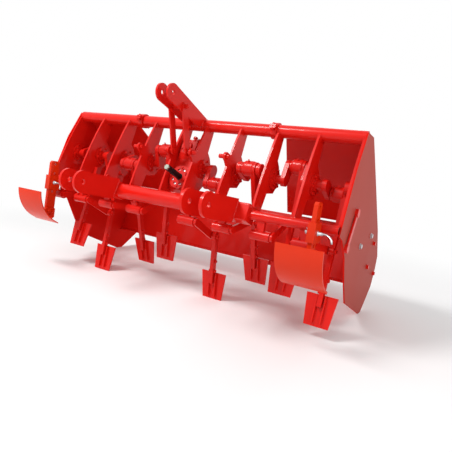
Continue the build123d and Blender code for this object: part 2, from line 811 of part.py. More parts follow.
def skid_socket(x):
    """Flat sleeve in front of the end tube, on a short gusset."""
    wide = BAR_THICK + 2 * (SOCKET_GAP + SOCKET_WALL)
    deep = BAR_DEPTH + 2 * (SOCKET_GAP + SOCKET_WALL)
    sleeve = side(x, SOCKET_AT, BAR_LEAN - radians(90))
    across = Plane(origin=sleeve.origin, x_dir=(1, 0, 0), z_dir=sleeve.x_dir)
    inside = (BAR_THICK + 2 * SOCKET_GAP, BAR_DEPTH + 2 * SOCKET_GAP)
    with BuildPart() as made:
        with BuildSketch(across.offset(-SOCKET_LENGTH / 2)):
            Rectangle(wide, deep)
        extrude(amount=SOCKET_LENGTH)
        with BuildSketch(side(x + GUSSET_X)):
            with BuildLine():
                Polyline(
                    along_bar(-30, -30),
                    BEAM_AT,
                    (BEAM_AT[0] + 20, BEAM_AT[1] - 16),
                    along_bar(SOCKET_LENGTH / 2, -deep / 2 - 8),
                    along_bar(SOCKET_LENGTH / 2, -30),
                    close=True,
                )
            make_face()
            with Locations(BEAM_AT):
                Circle(END_TUBE_R, mode=Mode.SUBTRACT)
        extrude(amount=GUSSET_THICK)
        with BuildSketch(across.offset(-SOCKET_LENGTH / 2)):
            Rectangle(*inside)
        extrude(amount=SOCKET_LENGTH, mode=Mode.SUBTRACT)
        with BuildSketch(side(x - wide)):
            with Locations(SOCKET_AT):
                Circle(SKID_PIN_R)
            with Locations(BEAM_AT):
                Circle(END_TUBE_R)
        extrude(amount=2 * wide, mode=Mode.SUBTRACT)
    return made.part


def along_bar(distance, forward=0.0):
    """Point of the side view down the skid's bar from the socket's middle."""
    back = SOCKET_AT[0] + distance * sin(BAR_LEAN) - forward * cos(BAR_LEAN)
    up = SOCKET_AT[1] - distance * cos(BAR_LEAN) - forward * sin(BAR_LEAN)
    return back, up


def skid_bar(x):
    """Flat bar that slides in the sleeve, with a row of pin holes through its sides."""
    length = BAR_ABOVE + BAR_BELOW
    top = side(x - BAR_THICK / 2, along_bar(-BAR_ABOVE), BAR_LEAN - radians(90))
    with BuildPart() as made:
        with BuildSketch(top):
            with BuildLine():
                Polyline(
                    (12, -BAR_DEPTH / 2),
                    (length, -BAR_DEPTH / 2),
                    (length, BAR_DEPTH / 2),
                    (12, BAR_DEPTH / 2),
                    (0, BAR_DEPTH / 2 - 12),
                    (0, 12 - BAR_DEPTH / 2),
                    close=True,
                )
            make_face()
            with Locations(*[(FIRST_PIN + n * PIN_SPACING, 0) for n in range(PIN_HOLES)]):
                Circle(SKID_PIN_R, mode=Mode.SUBTRACT)
        extrude(amount=BAR_THICK)
    return made.part


def skid_plate(x):
    """Sledge plate, turned up in front, with a bracket beside the bar's foot."""
    nose_top = (SKID_NOSE[0] + SKID_THICK, SKID_NOSE[1] + 1)
    bow_top = (SKID_BOW[0] + 4, SKID_BOW[1] + 5)
    heel_top = (SKID_HEEL[0] + 1, SKID_HEEL[1] + SKID_THICK)
    tail_top = (SKID_TAIL[0], SKID_TAIL[1] + SKID_THICK)
    with BuildPart() as made:
        with BuildSketch(side(x - SKID_WIDTH / 2)):
            with BuildLine():
                ThreePointArc(SKID_NOSE, SKID_BOW, SKID_HEEL)
                Line(SKID_HEEL, SKID_TAIL)
                Line(SKID_TAIL, tail_top)
                Line(tail_top, heel_top)
                ThreePointArc(heel_top, bow_top, nose_top)
                Line(nose_top, SKID_NOSE)
            make_face()
        extrude(amount=SKID_WIDTH)
        with BuildSketch(side(x + BAR_THICK / 2)):
            with BuildLine():
                Polyline(
                    (SKID_HEEL[0] - 58, SKID_HEEL[1] + 36),
                    (SKID_HEEL[0], SKID_HEEL[1] + 4),
                    (SKID_TAIL[0] - 2, SKID_TAIL[1] + 4),
                    along_bar(BAR_BELOW, -BAR_DEPTH / 2),
                    along_bar(BAR_BELOW - 58, -BAR_DEPTH / 2),
                    along_bar(BAR_BELOW - 58, BAR_DEPTH / 2),
                    close=True,
                )
            make_face()
        extrude(amount=10)
    return made.part


pieces["skid_sockets"] = joined(skid_socket(-SKID_X), skid_socket(SKID_X))
for name, x in (("left", -SKID_X), ("right", SKID_X)):
    pieces[f"skid_bar_{name}"] = skid_bar(x)
    pieces[f"skid_plate_{name}"] = skid_plate(x)

os.makedirs("parts", exist_ok=True)
for name, piece in pieces.items():
    piece.label = name
    export_step(piece, f"parts/{name}.step")


def metres(point):
    return [round(value / 1000, 6) for value in (point.X, point.Y, point.Z)]


print("lean", round(degrees(LEAN), 3))
print("crank axis", metres(CRANK_AXIS))
print("back", BACK, "up", UP)
print("power take-off", metres(place(0, BOX_FRONT - PTO_LENGTH, PTO_UP)))
print("shaft middle", metres(place(0, BOX_FRONT - (PTO_LENGTH + PTO_SHOULDER) / 2, PTO_UP)))
print("lower hitch", metres(place(HITCH_HALF_SPREAD, *HITCH_PIN_AT)))
print("top hitch", metres(place(0, *TOP_PIN_AT)))
for bay, crank_angle in SPADE_TABLE:
    pin, eye, line = linkage(crank_angle)
    print("pin", bay, metres(place(bay_middle(bay) + ARM_MIDDLE, pin.X, pin.Y)))
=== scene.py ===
# Spading machine: paint, welds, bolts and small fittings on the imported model.
#
# The side view is measured in millimetres from the crankshaft's axis, with the machine level as
# it works: "back" runs to the rear and "up" to the top. place() turns such a point into the frame
# of the parked machine, in metres, which leans back a little. Names that end in AT hold
# (back, up), and profiles of turned pieces are rows of (distance along, radius).
import json
from math import atan2, cos, hypot, pi, radians, sin, sqrt, tau

import bmesh
import bpy
from mathutils import Matrix, Vector


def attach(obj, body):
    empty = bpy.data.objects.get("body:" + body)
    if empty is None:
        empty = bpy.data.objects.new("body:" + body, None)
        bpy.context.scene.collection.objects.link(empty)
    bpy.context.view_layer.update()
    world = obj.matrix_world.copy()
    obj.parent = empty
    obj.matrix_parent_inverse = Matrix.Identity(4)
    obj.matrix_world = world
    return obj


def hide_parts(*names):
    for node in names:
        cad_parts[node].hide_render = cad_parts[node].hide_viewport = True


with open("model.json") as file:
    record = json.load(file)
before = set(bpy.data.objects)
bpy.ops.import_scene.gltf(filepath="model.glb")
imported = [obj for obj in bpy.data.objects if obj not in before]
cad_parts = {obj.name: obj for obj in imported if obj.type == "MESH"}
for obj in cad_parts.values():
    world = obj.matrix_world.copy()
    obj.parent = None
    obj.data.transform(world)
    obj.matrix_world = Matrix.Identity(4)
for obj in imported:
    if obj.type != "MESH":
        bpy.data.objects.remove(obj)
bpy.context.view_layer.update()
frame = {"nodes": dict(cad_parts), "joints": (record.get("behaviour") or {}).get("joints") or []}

MM = 0.001

# Across the machine
RIBS = (-990, -762, -534, -306, -78, 78, 306, 534, 762, 990)
RIB_HALF = 6
END_FACE = 996                  # inner face of a side plate
SIDE_FACE = 1004                # outer face of a side plate
BAY_MIDDLES = (-876, -648, -420, -192, 192, 420, 648, 876)      # one for each spade

# Side view
TUBE_AT = (-60, 252)
TUBE_R = 35
BEAM_AT = (-124, -252)
BEAM_R = 44.5
BEAM_BOX_IN = 349
BEAM_BOX_OUT = 540
BEAM_BOX_HALF = 46
END_TUBE_R = 25
ROCKER_PIVOT_AT = (-86, -340)
INPUT_UP = -95                  # axis of the input shaft

# Linkage: distances between a spade's crank pin, its rocker's eye and the rocker's pivot
EYE_REACH = 296
ROCKER_REACH = 194
ARM_BEND = 2                    # degrees between the line to the eye and the arm below it

# Camera: seen from the front right, with the machine leaning back further than it stands parked
PHOTO_LEAN = 36.0
PHOTO_AZIMUTH = 31.65
PHOTO_ELEVATION = 20.52
PHOTO_ROLL = -0.51
CAMERA_PLACE = (1519.5, -2024.0, -748.0)       # across, back, up
LENS = 34.52
SENSOR = 36.0


def joint(name):
    """Joint of the frame by its name."""
    return next(each for each in frame["joints"] if each["name"] == name)


CRANK = Vector(joint("crank_turn")["pos_m"])
BACK = -Vector(joint("pto_spin")["axis"]).normalized()
UP = Vector((1, 0, 0)).cross(BACK)
LEAN = atan2(-BACK.z, BACK.y)


def place(across, back, up):
    """Point of the side view, in millimetres, as a point of the frame in metres."""
    return CRANK + (Vector((across, 0, 0)) + BACK * back + UP * up) * MM


def heading(across, back, up):
    """Direction of the side view as a unit vector of the frame."""
    return (Vector((across, 0, 0)) + BACK * back + UP * up).normalized()


TO_LEFT = Vector((-1, 0, 0))
TO_RIGHT = Vector((1, 0, 0))
TO_FRONT = heading(0, -1, 0)
TO_REAR = heading(0, 1, 0)
TO_TOP = heading(0, 0, 1)
TO_FLOOR = heading(0, 0, -1)
BOTH_SIDES = ((-1, TO_LEFT), (1, TO_RIGHT))


# ---------------------------------------------------------------- finishes

# Sockets of a colour mix node, which are known by number alone
MIX_SHARE, MIX_FIRST, MIX_SECOND, MIX_RESULT = 0, 6, 7, 2

CLOUD_MM = 260                          # size of the soft clouds in the enamel
# Distances across at which the painted sheen of the side plates' outer faces begins and is full
SHEEN_FROM, SHEEN_TO = 1.0028, 1.0036   # metres from the middle: only the outer faces lie beyond


def linear(code):
    """Colour from its sRGB hex code, as the linear values that the shader takes."""
    shown = [int(code[n:n + 2], 16) / 255 for n in (1, 3, 5)]
    plain = [v / 12.92 if v <= 0.04045 else ((v + 0.055) / 1.055) ** 2.4 for v in shown]
    return (*plain, 1.0)


def add(tree, kind, inputs=None, **settings):
    """Add one node: its settings, then its inputs, each a value or a socket to link from."""
    made = tree.nodes.new(kind)
    for name, value in settings.items():
        setattr(made, name, value)
    for name, value in (inputs or {}).items():
        if isinstance(value, bpy.types.NodeSocket):
            tree.links.new(value, made.inputs[name])
        else:
            made.inputs[name].default_value = value
    return made


def new_material(name):
    """Empty node material with its output node."""
    material = bpy.data.materials.new(name)
    material.use_nodes = True
    tree = material.node_tree
    tree.nodes.clear()
    return material, tree, tree.nodes.new("ShaderNodeOutputMaterial")


def per_metre(size_mm):
    """Noise scale that gives spots of this size in millimetres."""
    return 1000 / size_mm


def with_painted_sheen(tree, at, shade, painted_sheen):
    """Shade that turns into a paler, duller one on the side plates' outer faces: a painted sheen."""
    apart = add(tree, "ShaderNodeSeparateXYZ", {0: at})
    away = add(tree, "ShaderNodeMath", {0: apart.outputs["X"]}, operation="ABSOLUTE")
    outer = add(tree, "ShaderNodeMapRange", {
        "Value": away.outputs[0], "From Min": SHEEN_FROM, "From Max": SHEEN_TO})
    return add(tree, "ShaderNodeMix", {
        MIX_SHARE: outer.outputs[0], MIX_FIRST: shade, MIX_SECOND: painted_sheen},
        data_type="RGBA").outputs[MIX_RESULT]


def enamel(name, light, deep, peel_mm, peel_depth_mm, rough, shine=0.14, coat=0.16, painted_sheen=None):
    """Sprayed enamel: two close shades in wide clouds, an orange peel skin and a clear gloss.

    shine and coat are how strongly the paint and its clear gloss mirror the room. dull is a
    The last argument is a paler, duller shade painted on the side plates' outer faces as their sheen.
    """
    material, tree, output = new_material(name)
    at = add(tree, "ShaderNodeTexCoord").outputs["Object"]
    clouds = add(tree, "ShaderNodeTexNoise", {
        "Vector": at, "Scale": per_metre(CLOUD_MM), "Detail": 3.0}).outputs["Fac"]
    shade = add(tree, "ShaderNodeMix", {
        MIX_SHARE: clouds, MIX_FIRST: light, MIX_SECOND: deep},
        data_type="RGBA").outputs[MIX_RESULT]
    # Painted sheen: the side plates' outer faces get a paler, duller shade
    if painted_sheen:
        shade = with_painted_sheen(tree, at, shade, painted_sheen)
    peel = add(tree, "ShaderNodeTexNoise", {"Vector": at, "Scale": per_metre(peel_mm), "Detail": 2.0})
    skin = add(tree, "ShaderNodeBump", {
        "Height": peel.outputs["Fac"], "Strength": 0.5, "Distance": peel_depth_mm * MM})
    gloss = add(tree, "ShaderNodeMapRange", {
        "Value": clouds, "To Min": rough - 0.04, "To Max": rough + 0.06})
    paint = add(tree, "ShaderNodeBsdfPrincipled", {
        "Base Color": shade, "Roughness": gloss.outputs[0], "Normal": skin.outputs[0],
        "IOR": 1.5, "Specular IOR Level": shine, "Coat Weight": coat, "Coat Roughness": 0.05})
    tree.links.new(paint.outputs[0], output.inputs["Surface"])
    return material


def bare_metal(name, light, deep, grain_mm, rough, metallic=1.0, bump_mm=0.04):
    """Unpainted steel: a mottled film over metal, with roughness that follows the film."""
    material, tree, output = new_material(name)
    at = add(tree, "ShaderNodeTexCoord").outputs["Object"]
    film = add(tree, "ShaderNodeTexNoise", {
        "Vector": at, "Scale": per_metre(grain_mm), "Detail": 4.0}).outputs["Fac"]
    shade = add(tree, "ShaderNodeMix", {
        MIX_SHARE: film, MIX_FIRST: light, MIX_SECOND: deep},
        data_type="RGBA").outputs[MIX_RESULT]
    uneven = add(tree, "ShaderNodeMapRange", {
        "Value": film, "To Min": rough - 0.08, "To Max": rough + 0.1})
    skin = add(tree, "ShaderNodeBump", {
        "Height": film, "Strength": 0.4, "Distance": bump_mm * MM})
    metal = add(tree, "ShaderNodeBsdfPrincipled", {
        "Base Color": shade, "Metallic": metallic, "Roughness": uneven.outputs[0],
        "Normal": skin.outputs[0]})
    tree.links.new(metal.outputs[0], output.inputs["Surface"])
    return material


# Gloss enamel on rolled plate and tube: smooth, with the faint orange peel of a spray gun.
PLATE_ENAMEL = enamel("gloss_enamel_on_plate", linear("#E01E13"), linear("#CE140C"), 3.0, 0.10, 0.28)
# The same enamel on cast and forged pieces: the sand's grain shows through the paint.
CAST_ENAMEL = enamel("gloss_enamel_on_castings", linear("#DA1C12"), linear("#C4120B"), 5.0, 0.35, 0.32)
# Skids come from another batch of paint, which is more orange.
SKID_ENAMEL = enamel("orange_red_enamel", linear("#E2340C"), linear("#D22A08"), 3.0, 0.10, 0.34)
# Side plates: bright inside, with a paler, duller shade painted on their large outer faces as their
# sheen; the paint itself mirrors the room only faintly.
SIDE_ENAMEL = enamel("side_plate_enamel", linear("#E01E13"), linear("#CE140C"), 3.0, 0.10, 0.45,
                     shine=0.03, coat=0.02, painted_sheen=linear("#B24A40"))
# Zinc plating on bolts and pins: pale and even, with a soft sheen.
ZINC = bare_metal("zinc_plated_steel", linear("#D3D6D8"), linear("#B4B8BB"), 6.0, 0.32)
# Oiled black scale on the splined shaft.
BLACK_STEEL = bare_metal("blackened_steel", linear("#1E1E20"), linear("#121214"), 4.0, 0.42, 0.6)
# Freshly turned steel on the shaft's end.
TURNED_STEEL = bare_metal("turned_steel", linear("#90958A"), linear("#767B72"), 2.0, 0.36, 1.0, 0.02)

CAST_NODES = ("gearbox", "bearings", "rocker_hangers", "pto_ring", "crankshaft_left", "crankshaft_right")


def finish_for(name):
    """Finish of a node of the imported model."""
    if name in CAST_NODES or name.startswith("spade_arm"):
        return CAST_ENAMEL
    if name.startswith("skid_"):
        return SKID_ENAMEL
    if name.startswith("side_plate"):
        return SIDE_ENAMEL
    return PLATE_ENAMEL


for node_name, node_object in frame["nodes"].items():
    for material_slot in node_object.material_slots:
        material_slot.material = finish_for(node_name)


# ---------------------------------------------------------------- making pieces

def settle(name, mesh, body, bevel_mm=0.0):
    """Finished piece in the scene: it rides a body, and may get small rounded edges."""
    piece = bpy.data.objects.new(name, mesh)
    bpy.context.scene.collection.objects.link(piece)
    if bevel_mm:
        rounding = piece.modifiers.new("rounded edges", "BEVEL")
        rounding.width = bevel_mm * MM
        rounding.segments = 2
        rounding.limit_method = "ANGLE"
        rounding.angle_limit = radians(40)
    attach(piece, body)
    return piece


def fitting(name, shape, body, slot, *materials, bevel_mm=0.0, smooth=False):
    """Piece from a bmesh, which is closed with its normals outwards and used up."""
    bmesh.ops.remove_doubles(shape, verts=shape.verts, dist=1e-6)
    bmesh.ops.recalc_face_normals(shape, faces=shape.faces)
    mesh = bpy.data.meshes.new(name)
    for face in shape.faces:
        face.smooth = smooth
    shape.to_mesh(mesh)
    shape.free()
    for material in materials:
        mesh.materials.append(material)
    return settle(name, mesh, body, bevel_mm)


def rings(shape, outlines, finish=0):
    """Skin over rings of points, with a flat cap at each end."""
    rows = [[shape.verts.new(point) for point in outline] for outline in outlines]
    count = len(rows[0])
    faces = [
        shape.faces.new((one[n], one[(n + 1) % count], other[(n + 1) % count], other[n]))
        for one, other in zip(rows, rows[1:])
        for n in range(count)
    ]
    faces.append(shape.faces.new(rows[0][::-1]))
    faces.append(shape.faces.new(rows[-1]))
    for face in faces:
        face.material_index = finish


def slab(shape, outline, left, right):
    """Flat piece of the side view between two places across the width."""
    rings(shape, [[place(x, back, up) for back, up in outline] for x in (left, right)])


def circle(start, direction, along, radius, sides):
    """Points of a circle round a direction, some millimetres along it from a start."""
    to_axis = direction.to_track_quat("Z", "Y").to_matrix()
    return [
        start + to_axis @ Vector((radius * cos(a), radius * sin(a), along)) * MM
        for a in (tau * n / sides for n in range(sides))
    ]


def turned(shape, start, direction, profile, sides=24, finish=0):
    """Turned piece along a direction from its start, in millimetres."""
    outlines = [circle(start, direction, along, radius, sides) for along, radius in profile]
    rings(shape, outlines, finish)


def flat_ring(shape, start, direction, outer, inner, thick, sides=32):
    """Flat ring from its start along a direction, with radii and thickness in millimetres."""
    corners = ((0, outer), (0, inner), (thick, inner), (thick, outer))
    loops = [
        [shape.verts.new(point) for point in circle(start, direction, along, radius, sides)]
        for along, radius in corners
    ]
    for one, other in zip(loops, loops[1:] + loops[:1]):
        for n in range(sides):
            shape.faces.new((one[n], one[(n + 1) % sides], other[(n + 1) % sides], other[n]))


def rod(shape, points, radius, sides):
    """Round bar along points of the frame."""
    outlines = []
    for n, point in enumerate(points):
        before = points[max(n - 1, 0)]
        after = points[min(n + 1, len(points) - 1)]
        outlines.append(circle(point, (after - before).normalized(), 0, radius, sides))
    rings(shape, outlines)


def arc(at, radius, start, end, steps=14):
    """Points of a circle in the side view between two angles in degrees."""
    return [
        (at[0] + radius * cos(radians(start + (end - start) * n / steps)),
         at[1] + radius * sin(radians(start + (end - start) * n / steps)))
        for n in range(steps + 1)
    ]


def across_line(outline, x):
    """Points of the side view as a line of the frame, at one place across."""
    return [place(x, back, up) for back, up in outline]


# ---------------------------------------------------------------- geometry node trees

# Shape of a bolt head, for a width of 1 across its flats
HEAD_R = 0.577
CROWN_R = 0.49
CROWN_HEIGHT = 0.07
STUD_R = 0.33
SHORTEST_STUD = 0.001

# How much thicker a weld bead is at one spot than at the next, as a share of its radius
SWELL = 0.2


def new_tree(name, inputs):
    """Geometry node tree with named inputs, each (name, socket kind, value)."""
    tree = bpy.data.node_groups.new(name, "GeometryNodeTree")
    tree.interface.new_socket("Geometry", in_out="INPUT", socket_type="NodeSocketGeometry")
    for title, kind, value in inputs:
        socket = tree.interface.new_socket(title, in_out="INPUT", socket_type=kind)
        if value is not None:
            socket.default_value = value
    tree.interface.new_socket("Geometry", in_out="OUTPUT", socket_type="NodeSocketGeometry")
    return tree, tree.nodes.new("NodeGroupInput"), tree.nodes.new("NodeGroupOutput")


def finish_tree(tree, given, output, geometry):
    """End a tree: real geometry with the finish that was asked for."""
    real = add(tree, "GeometryNodeRealizeInstances", {"Geometry": geometry})
    done = add(tree, "GeometryNodeSetMaterial",
               {"Geometry": real.outputs[0], "Material": given.outputs["Finish"]})
    tree.links.new(done.outputs[0], output.inputs[0])


def raised(tree, geometry, height):
    """Geometry moved up by a height."""
    offset = add(tree, "ShaderNodeCombineXYZ", {"Z": height})
    moved = add(tree, "GeometryNodeTransform", {
        "Geometry": geometry, "Translation": offset.outputs[0]})
    return moved.outputs[0]


def column(tree, sides, radius, height, foot):
    """Upright prism whose foot stands at a height."""
    prism = add(tree, "GeometryNodeMeshCylinder", {
        "Vertices": sides, "Radius": radius, "Depth": height})
    middle = add(tree, "ShaderNodeMath", {0: height, 1: 0.5, 2: foot}, operation="MULTIPLY_ADD")
    return raised(tree, prism.outputs["Mesh"], middle.outputs[0])


def bolt_shape(tree, given):
    """Hexagon head with a chamfered crown on a washer, and a stud where one is asked for."""
    thick = given.outputs["Washer thickness"]
    height = given.outputs["Head height"]
    stud_length = given.outputs["Stud length"]
    top = add(tree, "ShaderNodeMath", {0: height, 1: thick}, operation="ADD").outputs[0]
    washer = column(tree, 20, given.outputs["Washer radius"], thick, 0.0)
    head = column(tree, 6, HEAD_R, height, thick)
    cone = add(tree, "GeometryNodeMeshCone", {
        "Vertices": 6, "Radius Top": CROWN_R, "Radius Bottom": HEAD_R, "Depth": CROWN_HEIGHT})
    crown = raised(tree, cone.outputs["Mesh"], top)
    wanted = add(tree, "FunctionNodeCompare", {0: stud_length, 1: SHORTEST_STUD},
                 operation="GREATER_THAN")
    stud = add(tree, "GeometryNodeSwitch", {
        "Switch": wanted.outputs[0], "True": column(tree, 14, STUD_R, stud_length, top)},
        input_type="GEOMETRY")
    whole = add(tree, "GeometryNodeJoinGeometry")
    for part in (washer, head, crown, stud.outputs[0]):
        tree.links.new(part, whole.inputs[0])
    return whole.outputs[0]


def bolt_turn(tree):
    """Rotation that faces a bolt the way it is told, with its flats at a chance angle."""
    facing = add(tree, "GeometryNodeInputNamedAttribute", {"Name": "facing"},
                 data_type="FLOAT_VECTOR")
    chance = add(tree, "FunctionNodeRandomValue", {3: pi / 3, "Seed": 7}, data_type="FLOAT")
    spin = add(tree, "ShaderNodeCombineXYZ", {"Z": chance.outputs[1]})
    spun = add(tree, "FunctionNodeEulerToRotation", {0: spin.outputs[0]})
    aimed = add(tree, "FunctionNodeAlignRotationToVector", {
        "Rotation": spun.outputs[0], "Vector": facing.outputs["Attribute"]}, axis="Z")
    return aimed.outputs[0]


def bolt_tree():
    """Bolt heads or nuts, one at each point. Lengths are shares of the width across flats."""
    tree, given, output = new_tree("hexagon heads", (
        ("Head height", "NodeSocketFloat", 0.42),
        ("Washer thickness", "NodeSocketFloat", 0.14),
        ("Washer radius", "NodeSocketFloat", 0.68),
        ("Stud length", "NodeSocketFloat", 0.0),
        ("Finish", "NodeSocketMaterial", None),
    ))
    flats = add(tree, "GeometryNodeInputNamedAttribute", {"Name": "flats"}, data_type="FLOAT")
    heads = add(tree, "GeometryNodeInstanceOnPoints", {
        "Points": given.outputs["Geometry"], "Instance": bolt_shape(tree, given),
        "Rotation": bolt_turn(tree), "Scale": flats.outputs["Attribute"]})
    finish_tree(tree, given, output, heads.outputs[0])
    return tree


def weld_tree():
    """Weld bead along lines, thicker and thinner where each spot of the torch has set."""
    tree, given, output = new_tree("weld bead", (
        ("Bead radius", "NodeSocketFloat", 0.0035),
        ("Spot length", "NodeSocketFloat", 0.006),
        ("Finish", "NodeSocketMaterial", None),
    ))
    line = add(tree, "GeometryNodeMeshToCurve", {"Mesh": given.outputs["Geometry"]})
    step = add(tree, "ShaderNodeMath", {0: given.outputs["Spot length"], 1: 2.0}, operation="DIVIDE")
    even = add(tree, "GeometryNodeResampleCurve", {
        "Curve": line.outputs[0], "Length": step.outputs[0]}, mode="LENGTH")
    count = add(tree, "GeometryNodeInputIndex")
    odd = add(tree, "ShaderNodeMath", {0: count.outputs[0], 1: 2.0}, operation="MODULO")
    swell = add(tree, "ShaderNodeMath", {0: odd.outputs[0], 1: SWELL, 2: 1 - SWELL / 2},
                operation="MULTIPLY_ADD")
    uneven = add(tree, "GeometryNodeSetCurveRadius", {
        "Curve": even.outputs[0], "Radius": swell.outputs[0]})
    section = add(tree, "GeometryNodeCurvePrimitiveCircle", {
        "Resolution": 7, "Radius": given.outputs["Bead radius"]})
    bead = add(tree, "GeometryNodeCurveToMesh", {
        "Curve": uneven.outputs[0], "Profile Curve": section.outputs[0], "Fill Caps": True})
    finish_tree(tree, given, output, bead.outputs[0])
    return tree


def grown(name, mesh, tree, values, smooth=False):
    """Mesh that a tree grows on another mesh, as plain geometry."""
    seed = bpy.data.objects.new(name, mesh)
    bpy.context.scene.collection.objects.link(seed)
    grower = seed.modifiers.new("grower", "NODES")
    grower.node_group = tree
    keys = {
        item.name: item.identifier
        for item in tree.interface.items_tree
        if item.in_out == "INPUT"
    }
    for title, value in values.items():
        grower[keys[title]] = value
    evaluated = seed.evaluated_get(bpy.context.evaluated_depsgraph_get())
    result = bpy.data.meshes.new_from_object(evaluated)
    result.name = name
    bpy.data.objects.remove(seed)
    for face in result.polygons:
        face.use_smooth = smooth
    return result


BOLT_TREE = bolt_tree()
WELD_TREE = weld_tree()


def bolts(name, rows, body, finish, form=None):
    """Bolt heads or nuts. Each row is (point of the frame, direction, width across flats).

    form holds inputs of the bolt tree that differ from its own values.
    """
    mesh = bpy.data.meshes.new(name)
    mesh.from_pydata([point for point, facing, flats in rows], [], [])
    mesh.attributes.new("facing", "FLOAT_VECTOR", "POINT")
    mesh.attributes.new("flats", "FLOAT", "POINT")
    for n, (point, facing, flats) in enumerate(rows):
        mesh.attributes["facing"].data[n].vector = facing
        mesh.attributes["flats"].data[n].value = flats * MM
    values = {"Finish": finish, **(form or {})}
    settle(name, grown(name, mesh, BOLT_TREE, values), body)


def welds(name, lines, body, finish, radius_mm=4.5):
    """Weld beads along lines of points of the frame."""
    mesh = bpy.data.meshes.new(name)
    points = [point for line in lines for point in line]
    edges = []
    start = 0
    for line in lines:
        edges += [(start + n, start + n + 1) for n in range(len(line) - 1)]
        start += len(line)
    mesh.from_pydata(points, edges, [])
    values = {"Finish": finish, "Bead radius": radius_mm * MM}
    settle(name, grown(name, mesh, WELD_TREE, values, smooth=True), body)


# ---------------------------------------------------------------- welds on the frame

BEAD_OUT = 1                            # from a surface to the middle of a bead along it
TUBE_SEAM = (-151, -29)                 # seams round a tube, from one angle to another
END_TUBE_SEAM = (20, 84)
BEAM_SEAM = (14, 86)
BOX_SEAM_CORNER = 4                     # cut across the corner of a box
BOX_SEAM_DOWN = 30                      # and how far the seam runs down the box's rear
MAST_SEAM = (80, 250)
MAST_FACES = (-42, -30, 30, 42)
HITCH_FACES = (349, 365, 458, 474)
HITCH_SEAM = (-204, -296)               # from the top of the hitch plates' rear edge to its foot
HANGER_FACES = (-62, -22)               # from a bay's middle
HANGER_SEAM_START = (-98, -314)
HANGER_SEAM_END_OUTER = (-118, -320)    # under the thin end tubes
HANGER_SEAM_END_INNER = (-118, -301)    # under the thick beam and its boxes


def rib_foot(x):
    """Line where a rib's foot meets the front beam."""
    if abs(x) > BEAM_BOX_OUT:
        return arc(BEAM_AT, END_TUBE_R + BEAD_OUT, *END_TUBE_SEAM)
    if abs(x) > BEAM_BOX_IN:
        top = BEAM_AT[1] + BEAM_BOX_HALF + BEAD_OUT
        rear = BEAM_AT[0] + BEAM_BOX_HALF + BEAD_OUT
        return [
            (BEAM_AT[0] + BOX_SEAM_CORNER, top), (rear - BOX_SEAM_CORNER, top),
            (rear, top - BOX_SEAM_CORNER), (rear, top - BOX_SEAM_DOWN),
        ]
    return arc(BEAM_AT, BEAM_R + BEAD_OUT, *BEAM_SEAM)


frame_seams = []
for rib in RIBS:
    for face_x in (rib - RIB_HALF, rib + RIB_HALF):
        if abs(face_x) < END_FACE:
            frame_seams.append(across_line(arc(TUBE_AT, TUBE_R + BEAD_OUT, *TUBE_SEAM), face_x))
            frame_seams.append(across_line(rib_foot(rib), face_x))

hitch_seam = [(BEAM_AT[0] - BEAM_BOX_HALF - BEAD_OUT, up) for up in HITCH_SEAM]
for face_x in HITCH_FACES:
    for side in (-1, 1):
        frame_seams.append(across_line(hitch_seam, side * face_x))

for middle in BAY_MIDDLES:
    seam_end = HANGER_SEAM_END_OUTER if abs(middle) > BEAM_BOX_OUT else HANGER_SEAM_END_INNER
    for face_x in HANGER_FACES:
        frame_seams.append(across_line((HANGER_SEAM_START, seam_end), middle + face_x))

for face_x in MAST_FACES:
    frame_seams.append(across_line(arc(TUBE_AT, TUBE_R + BEAD_OUT, *MAST_SEAM), face_x))

welds("frame_welds", frame_seams, "frame", PLATE_ENAMEL)

# ---------------------------------------------------------------- bolts on the frame

# Widths across flats
M8_FLATS = 13
COLLAR_FLATS = 15
RAIL_FLATS = 22
PLATED_FLATS = 24

RIBS_LEFT_OF_BEARINGS = RIBS[:4] + RIBS[5:9]        # the gearbox stands right of the fifth rib
BEARING_BOLTS_R = 49
BEARING_FACE = 20                                   # from a rib's middle to its bearing's face
COLLARS = (-440, 505)
COLLAR_BOLT_BACK = 54
COLLAR_EAR_HALF = 11
RAIL_BOLTS_AT = ((650, -87), (617, -244), (855, -232))
BOARD_REAR = 696
BOARD_BOLTS_ACROSS = range(-900, 901, 200)
BOARD_BOLTS_UP = (-60, -330)
PLATED_BOLTS_AT = ((313, -200), (523, -76))


def bearing_bolts(x, facing):
    """Six bolts round the crankshaft, on a face across the machine."""
    turns = [radians(30 + 60 * n) for n in range(6)]
    return [
        (place(x, BEARING_BOLTS_R * cos(turn), BEARING_BOLTS_R * sin(turn)), facing, M8_FLATS)
        for turn in turns
    ]


frame_rows = []
for rib in RIBS_LEFT_OF_BEARINGS:
    frame_rows += bearing_bolts(rib + BEARING_FACE, TO_RIGHT)
    if rib != RIBS[0]:          # the left end rib lies against its side plate
        frame_rows += bearing_bolts(rib - RIB_HALF, TO_LEFT)
frame_rows += bearing_bolts(RIBS[-1] - BEARING_FACE, TO_LEFT)

# Bolts through the clamp collars' ears
for collar in COLLARS:
    for back in (TUBE_AT[0] - COLLAR_BOLT_BACK, TUBE_AT[0] + COLLAR_BOLT_BACK):
        frame_rows.append((place(collar, back, TUBE_AT[1] + COLLAR_EAR_HALF), TO_TOP, COLLAR_FLATS))
        frame_rows.append((place(collar, back, TUBE_AT[1] - COLLAR_EAR_HALF), TO_FLOOR, COLLAR_FLATS))

# Bolts through the side plates into the rail, and along the rear board
for side, facing in BOTH_SIDES:
    for at in RAIL_BOLTS_AT:
        frame_rows.append((place(side * SIDE_FACE, *at), facing, RAIL_FLATS))
for across in BOARD_BOLTS_ACROSS:
    for up in BOARD_BOLTS_UP:
        frame_rows.append((place(across, BOARD_REAR, up), TO_REAR, M8_FLATS))
bolts("frame_bolts", frame_rows, "frame", PLATE_ENAMEL)

